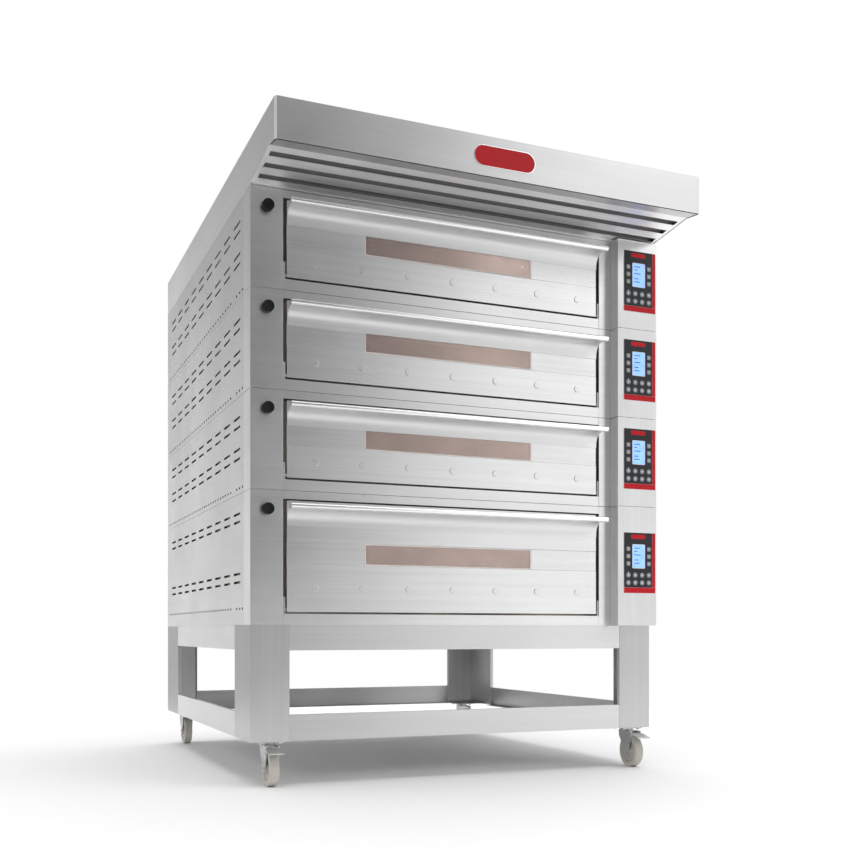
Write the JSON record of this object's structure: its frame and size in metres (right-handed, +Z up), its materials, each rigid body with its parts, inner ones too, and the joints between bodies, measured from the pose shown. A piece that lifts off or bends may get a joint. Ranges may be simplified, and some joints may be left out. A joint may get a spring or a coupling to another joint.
{
  "type": "deck oven",
  "caption": "Stacked electric deck oven in brushed stainless steel on an open castor stand, with drop-down glazed doors and an overhanging extraction hood.",
  "frame": {"origin": "on the floor, under the middle of the whole oven's bounding box", "axes": "+Z up, the doors face -Y, +X to the right seen from the front, where the control column is"},
  "size_m": [1.63, 2.062, 2.301],
  "materials": {
    "brushed_front": "satin brushed stainless, grain across",
    "brushed_body": "satin brushed stainless",
    "brushed_stand": "satin brushed stainless",
    "polished_steel": "fine satin stainless",
    "inner_steel": "mill finish",
    "chamber_steel": "aluminised, heat stained",
    "oven_glass": "tinted toughened",
    "black_knob": "satin",
    "hearth_stone": "cast refractory",
    "element_sheath": "oxidised sheath",
    "mineral_wool": "matt",
    "braided_gasket": "braided",
    "lamp_glass": "frosted",
    "control_overlay": "printed polyester",
    "display": "backlit",
    "badge_red": "gloss",
    "motor_black": "satin",
    "fan_aluminium": "cast",
    "zinc_plate": "zinc plated",
    "castor_tyre": "grey non-marking"
  },
  "bodies": {
    "oven": {"deck_1_front_frame": "brushed_front", "deck_2_front_frame": "brushed_front", "deck_3_front_frame": "brushed_front", "deck_4_front_frame": "brushed_front", "side_panels": "brushed_body", "rear_panels": "brushed_body", "control_boxes": "brushed_body", "hood_fascia": "brushed_body", "hood_canopy": "brushed_body", "hood_baffle": "brushed_body", "hood_housing": "brushed_body", "stand_legs": "brushed_stand", "stand_top_rails": "brushed_stand", "stand_bottom_rails": "brushed_stand", "deck_floors": "inner_steel", "chambers": "chamber_steel", "hearth_stones": "hearth_stone", "heating_elements": "element_sheath", "insulation": "mineral_wool", "door_hinges": "inner_steel", "door_gaskets": "braided_gasket", "oven_lamps": "lamp_glass", "rear_fittings": "inner_steel", "control_panels": "control_overlay", "displays": "display", "hood_badge": "badge_red", "hood_fan_motor": "motor_black", "hood_flue_collar": "inner_steel", "castor_plates": "zinc_plate"},
    "door_1": {"deck_1_door_panel": "brushed_front", "deck_1_door_handle": "polished_steel", "deck_1_door_glass": "oven_glass", "deck_1_door_trim": "brushed_front"},
    "vent_1": {"deck_1_vent_knob": "black_knob"},
    "door_2": {"deck_2_door_panel": "brushed_front", "deck_2_door_handle": "polished_steel", "deck_2_door_glass": "oven_glass", "deck_2_door_trim": "brushed_front"},
    "vent_2": {"deck_2_vent_knob": "black_knob"},
    "door_3": {"deck_3_door_panel": "brushed_front", "deck_3_door_handle": "polished_steel", "deck_3_door_glass": "oven_glass", "deck_3_door_trim": "brushed_front"},
    "vent_3": {"deck_3_vent_knob": "black_knob"},
    "door_4": {"deck_4_door_panel": "brushed_front", "deck_4_door_handle": "polished_steel", "deck_4_door_glass": "oven_glass", "deck_4_door_trim": "brushed_front"},
    "vent_4": {"deck_4_vent_knob": "black_knob"},
    "front_left_fork": {"castor_front_left_fork": "zinc_plate"},
    "front_left_wheel": {"castor_front_left_wheel": "castor_tyre"},
    "front_left_pedal": {"castor_front_left_pedal": "zinc_plate"},
    "front_right_fork": {"castor_front_right_fork": "zinc_plate"},
    "front_right_wheel": {"castor_front_right_wheel": "castor_tyre"},
    "front_right_pedal": {"castor_front_right_pedal": "zinc_plate"},
    "rear_left_fork": {"castor_rear_left_fork": "zinc_plate"},
    "rear_left_wheel": {"castor_rear_left_wheel": "castor_tyre"},
    "rear_right_fork": {"castor_rear_right_fork": "zinc_plate"},
    "rear_right_wheel": {"castor_rear_right_wheel": "castor_tyre"},
    "fan": {"hood_fan_rotor": "fan_aluminium"}
  },
  "joints": [
    {"name": "door_1_hinge", "type": "hinge", "parent": "oven", "child": "door_1", "pos_m": [0, -0.691, 0.616], "axis": [1, 0, 0], "range_deg": [0, 90]},
    {"name": "vent_1_pull", "type": "slide", "parent": "oven", "child": "vent_1", "axis": [0, -1, 0], "range_m": [0, 0.06]},
    {"name": "door_2_hinge", "type": "hinge", "parent": "oven", "child": "door_2", "pos_m": [0, -0.691, 1.086], "axis": [1, 0, 0], "range_deg": [0, 90]},
    {"name": "vent_2_pull", "type": "slide", "parent": "oven", "child": "vent_2", "axis": [0, -1, 0], "range_m": [0, 0.06]},
    {"name": "door_3_hinge", "type": "hinge", "parent": "oven", "child": "door_3", "pos_m": [0, -0.691, 1.436], "axis": [1, 0, 0], "range_deg": [0, 90]},
    {"name": "vent_3_pull", "type": "slide", "parent": "oven", "child": "vent_3", "axis": [0, -1, 0], "range_m": [0, 0.06]},
    {"name": "door_4_hinge", "type": "hinge", "parent": "oven", "child": "door_4", "pos_m": [0, -0.691, 1.786], "axis": [1, 0, 0], "range_deg": [0, 90]},
    {"name": "vent_4_pull", "type": "slide", "parent": "oven", "child": "vent_4", "axis": [0, -1, 0], "range_m": [0, 0.06]},
    {"name": "front_left_swivel", "type": "hinge", "parent": "oven", "child": "front_left_fork", "pos_m": [-0.74, -0.649, 0.151], "axis": [0, 0, 1], "continuous": true},
    {"name": "front_left_roll", "type": "hinge", "parent": "front_left_fork", "child": "front_left_wheel", "pos_m": [-0.74, -0.684, 0.0625], "axis": [1, 0, 0], "continuous": true},
    {"name": "front_left_brake", "type": "hinge", "parent": "front_left_fork", "child": "front_left_pedal", "pos_m": [-0.74, -0.709, 0.1295], "axis": [1, 0, 0], "range_deg": [0, 10]},
    {"name": "front_right_swivel", "type": "hinge", "parent": "oven", "child": "front_right_fork", "pos_m": [0.74, -0.649, 0.151], "axis": [0, 0, 1], "continuous": true},
    {"name": "front_right_roll", "type": "hinge", "parent": "front_right_fork", "child": "front_right_wheel", "pos_m": [0.74, -0.684, 0.0625], "axis": [1, 0, 0], "continuous": true},
    {"name": "front_right_brake", "type": "hinge", "parent": "front_right_fork", "child": "front_right_pedal", "pos_m": [0.74, -0.709, 0.1295], "axis": [1, 0, 0], "range_deg": [0, 10]},
    {"name": "rear_left_swivel", "type": "hinge", "parent": "oven", "child": "rear_left_fork", "pos_m": [-0.74, 0.951, 0.151], "axis": [0, 0, 1], "continuous": true},
    {"name": "rear_left_roll", "type": "hinge", "parent": "rear_left_fork", "child": "rear_left_wheel", "pos_m": [-0.74, 0.916, 0.0625], "axis": [1, 0, 0], "continuous": true},
    {"name": "rear_right_swivel", "type": "hinge", "parent": "oven", "child": "rear_right_fork", "pos_m": [0.74, 0.951, 0.151], "axis": [0, 0, 1], "continuous": true},
    {"name": "rear_right_roll", "type": "hinge", "parent": "rear_right_fork", "child": "rear_right_wheel", "pos_m": [0.74, 0.916, 0.0625], "axis": [1, 0, 0], "continuous": true},
    {"name": "fan_spin", "type": "hinge", "parent": "oven", "child": "fan", "pos_m": [0, 0.1685, 2.145], "axis": [0, 0, 1], "continuous": true}
  ]
}
